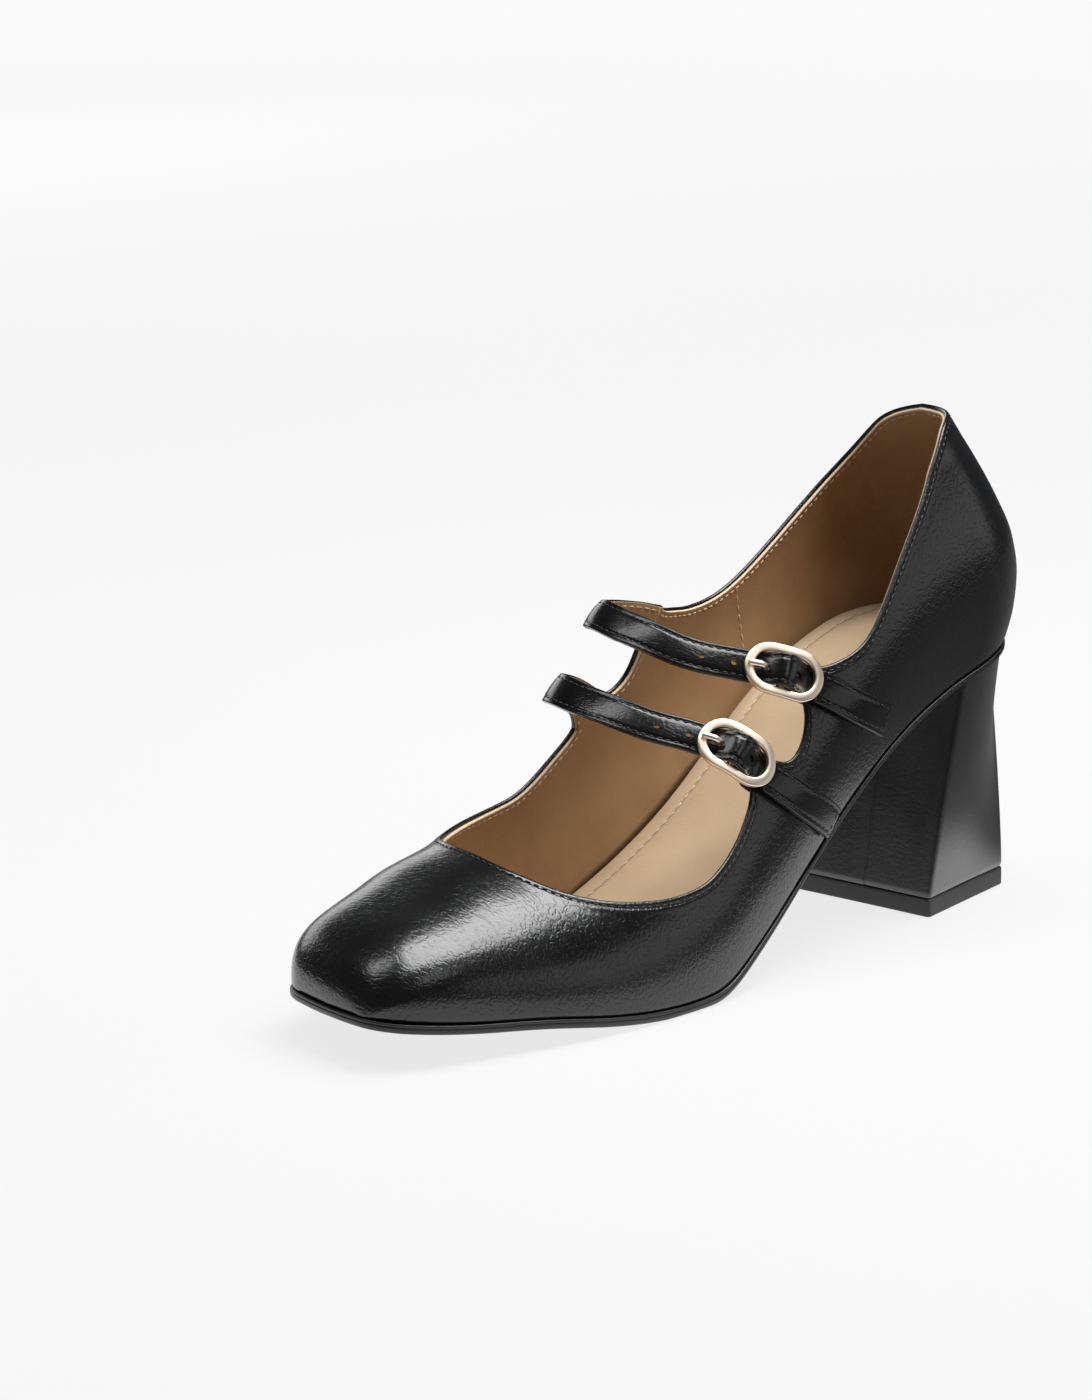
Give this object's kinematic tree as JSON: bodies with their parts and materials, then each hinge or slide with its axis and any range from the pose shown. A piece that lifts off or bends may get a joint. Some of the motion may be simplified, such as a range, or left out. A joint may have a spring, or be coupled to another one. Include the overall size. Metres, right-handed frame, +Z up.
{
  "type": "mary jane pump",
  "caption": "Black leather mary jane pump with a wrapped block heel, two buckled instep straps and a tan lining.",
  "frame": {"origin": "on the flat bottom of the heel lift, on the floor, under the middle of the heel", "axes": "+Z up, -Y towards the toe, +X towards the outer side of this left foot"},
  "size_m": [0.0728, 0.2295, 0.1203],
  "materials": {
    "upper_leather": "smooth, semi-gloss",
    "strap_leather": "smooth, glossy",
    "heel_leather": "smooth, glossy wrap",
    "sock_leather": "matt lining leather",
    "sole_rubber": "satin black edge",
    "lift_rubber": "matt",
    "buckle_metal": "pale gold plating, polished",
    "elastic_fabric": "ribbed woven elastic"
  },
  "bodies": {
    "root": {"upper": "upper_leather", "outsole": "sole_rubber", "insole": "sock_leather", "heel": "heel_leather", "heel_lift": "lift_rubber", "strap_upper": "strap_leather", "strap_lower": "strap_leather", "buckle_upper": "buckle_metal", "buckle_lower": "buckle_metal", "prong_upper": "buckle_metal", "prong_lower": "buckle_metal", "elastic_upper": "elastic_fabric", "elastic_lower": "elastic_fabric", "tab_upper": "strap_leather", "tab_lower": "strap_leather"}
  },
  "joints": []
}
